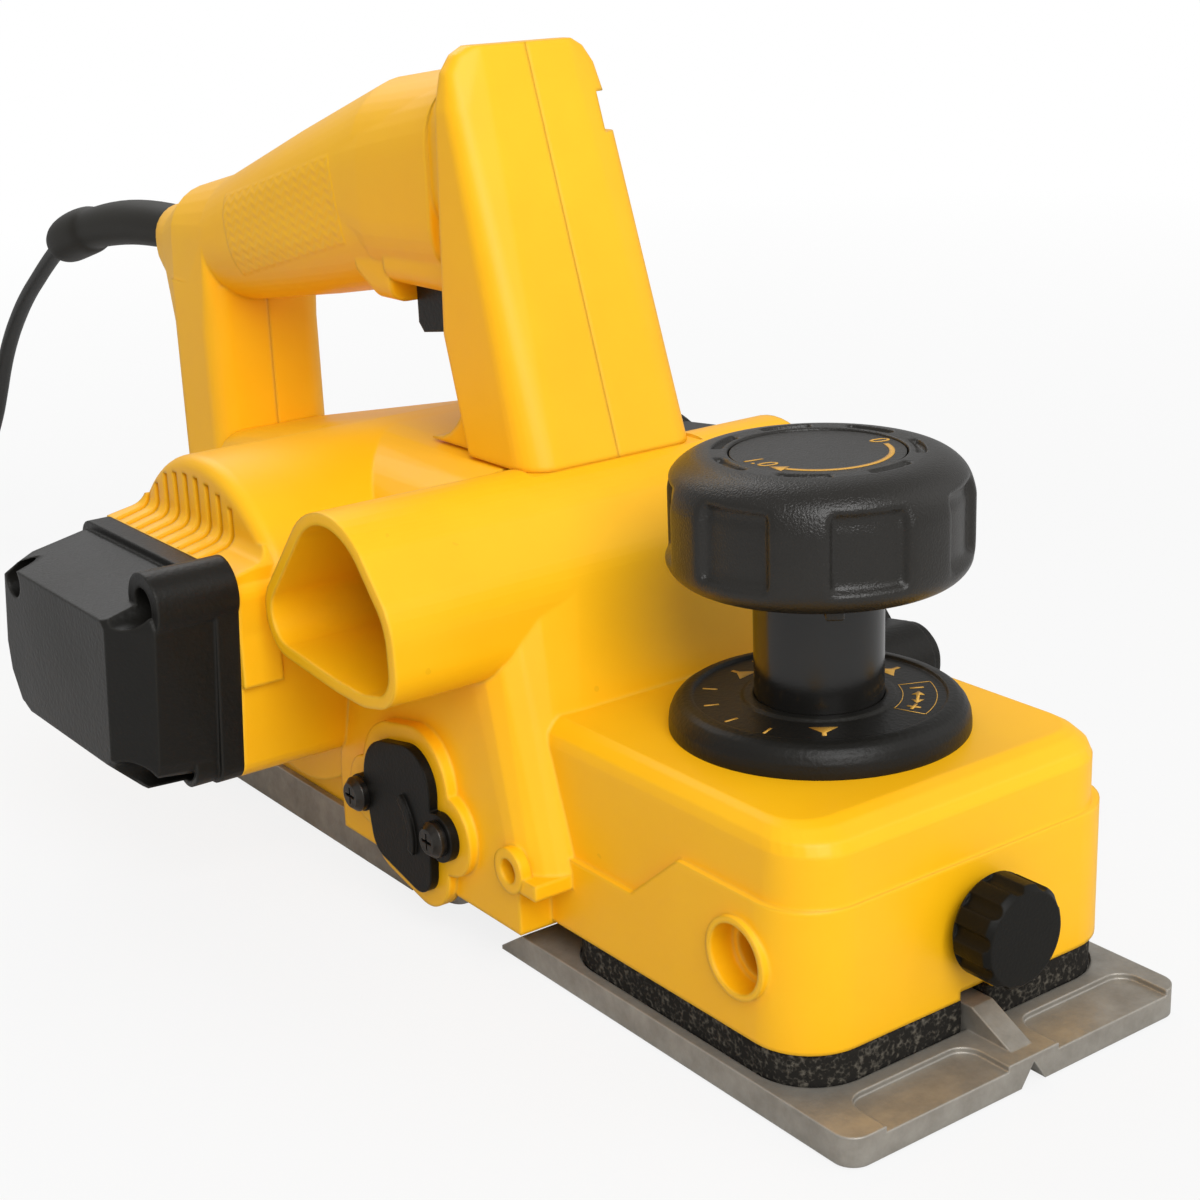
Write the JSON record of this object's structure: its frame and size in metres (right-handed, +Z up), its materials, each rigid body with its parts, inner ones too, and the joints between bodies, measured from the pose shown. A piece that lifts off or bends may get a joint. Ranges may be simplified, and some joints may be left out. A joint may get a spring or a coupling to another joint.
{
  "type": "electric hand planer",
  "caption": "Electric hand planer with a 290 mm sole, closed rear handle, depth knob, chip outlet, belt cover and a coiled power cord.",
  "frame": {"origin": "on the rear shoe's sole, half way along the tool's length and on its centre line", "axes": "+Z up from the sole, -Y towards the front shoe, +X towards the belt cover"},
  "size_m": [0.159, 0.581, 0.1724],
  "materials": {
    "yellow_plastic": "satin",
    "black_plastic": "fine grain",
    "cast_aluminium": "as cast, machined sole",
    "machined_aluminium": "machined",
    "steel": "satin",
    "black_steel": "black oxide",
    "spring_steel": "bright",
    "foam": "open-cell foam",
    "laminations": "stacked laminations",
    "copper": "enamelled copper wire",
    "brass": "bright",
    "carbon": "carbon",
    "cord_rubber": "smooth rubber",
    "belt_rubber": "ribbed rubber",
    "nickel": "nickel plated"
  },
  "bodies": {
    "housing": {"main_housing": "yellow_plastic", "bearing_bracket": "cast_aluminium", "belt_cover": "black_plastic", "belt_cover_screws": "black_steel", "motor_end_cap": "black_plastic", "end_cap_screws": "black_steel", "bearing_plate": "black_plastic", "bearing_plate_screws": "black_steel", "handle_right": "yellow_plastic", "handle_left": "yellow_plastic", "handle_screws": "black_steel", "rear_shoe": "cast_aluminium", "rear_shoe_screws": "steel", "foam_gasket": "foam", "shoe_springs": "spring_steel", "scale_ring": "black_plastic", "drum_bearing_right": "steel", "drum_bearing_left": "steel", "drive_belt": "belt_rubber", "motor_bearings": "steel", "stator_core": "laminations", "field_coils": "copper", "brush_holders": "brass", "carbon_brushes": "carbon", "brush_springs": "spring_steel", "trigger_spring": "spring_steel", "lock_spring": "spring_steel", "switch_body": "black_plastic", "cord_boot": "cord_rubber", "cord_clamp": "black_plastic", "cord_tube": "cord_rubber", "cord_coil": "cord_rubber", "cord_tie": "black_plastic", "plug_body": "cord_rubber", "plug_pins": "nickel"},
    "drum": {"cutter_drum": "machined_aluminium", "planer_blades": "steel", "blade_clamps": "steel", "blade_screws": "black_steel", "drum_pulley": "steel", "drum_pulley_nut": "steel"},
    "armature": {"motor_shaft": "steel", "armature_core": "laminations", "armature_windings": "copper", "commutator": "copper", "cooling_fan": "black_plastic", "motor_pulley": "steel"},
    "knob": {"knob_cap": "black_plastic", "knob_dial": "black_plastic", "knob_post": "black_plastic", "depth_spindle": "steel", "spindle_clip": "spring_steel"},
    "front_shoe": {"front_shoe": "cast_aluminium"},
    "clamp": {"clamp_knob": "black_plastic", "clamp_screw": "steel"},
    "trigger": {"trigger": "black_plastic"},
    "lock_button": {"lock_button": "black_plastic"}
  },
  "joints": [
    {"name": "drum_spin", "type": "hinge", "parent": "housing", "child": "drum", "pos_m": [0, -0.019, 0.0235], "axis": [-1, 0, 0], "continuous": true},
    {"name": "armature_spin", "type": "hinge", "parent": "housing", "child": "armature", "pos_m": [0, 0.033, 0.053], "axis": [-1, 0, 0], "continuous": true},
    {"name": "depth_knob", "type": "hinge", "parent": "housing", "child": "knob", "pos_m": [0, -0.0923, 0.06], "axis": [0, 0, -1], "range_deg": [0, 300]},
    {"name": "front_shoe_slide", "type": "slide", "parent": "housing", "child": "front_shoe", "axis": [0, 0, 1], "range_m": [0, 0.001], "deforming": ["foam_gasket", "shoe_springs"]},
    {"name": "clamp_turn", "type": "hinge", "parent": "housing", "child": "clamp", "pos_m": [0.0025, -0.137, 0.0265], "axis": [0, -1, 0], "range_deg": [-180, 180]},
    {"name": "trigger_pull", "type": "slide", "parent": "housing", "child": "trigger", "axis": [0, 0, 1], "range_m": [0, 0.0045], "stiffness_N_per_m": 400, "springref_m": -0.004, "deforming": ["trigger_spring"]},
    {"name": "lock_press", "type": "slide", "parent": "housing", "child": "lock_button", "axis": [-1, 0, 0], "range_m": [0, 0.003], "stiffness_N_per_m": 300, "springref_m": -0.003}
  ],
  "couplings": [
    {"joint": "armature_spin", "follows": "drum_spin", "ratio": 1.3636},
    {"joint": "depth_knob", "follows": "front_shoe_slide", "rad_per_m": 5236}
  ]
}
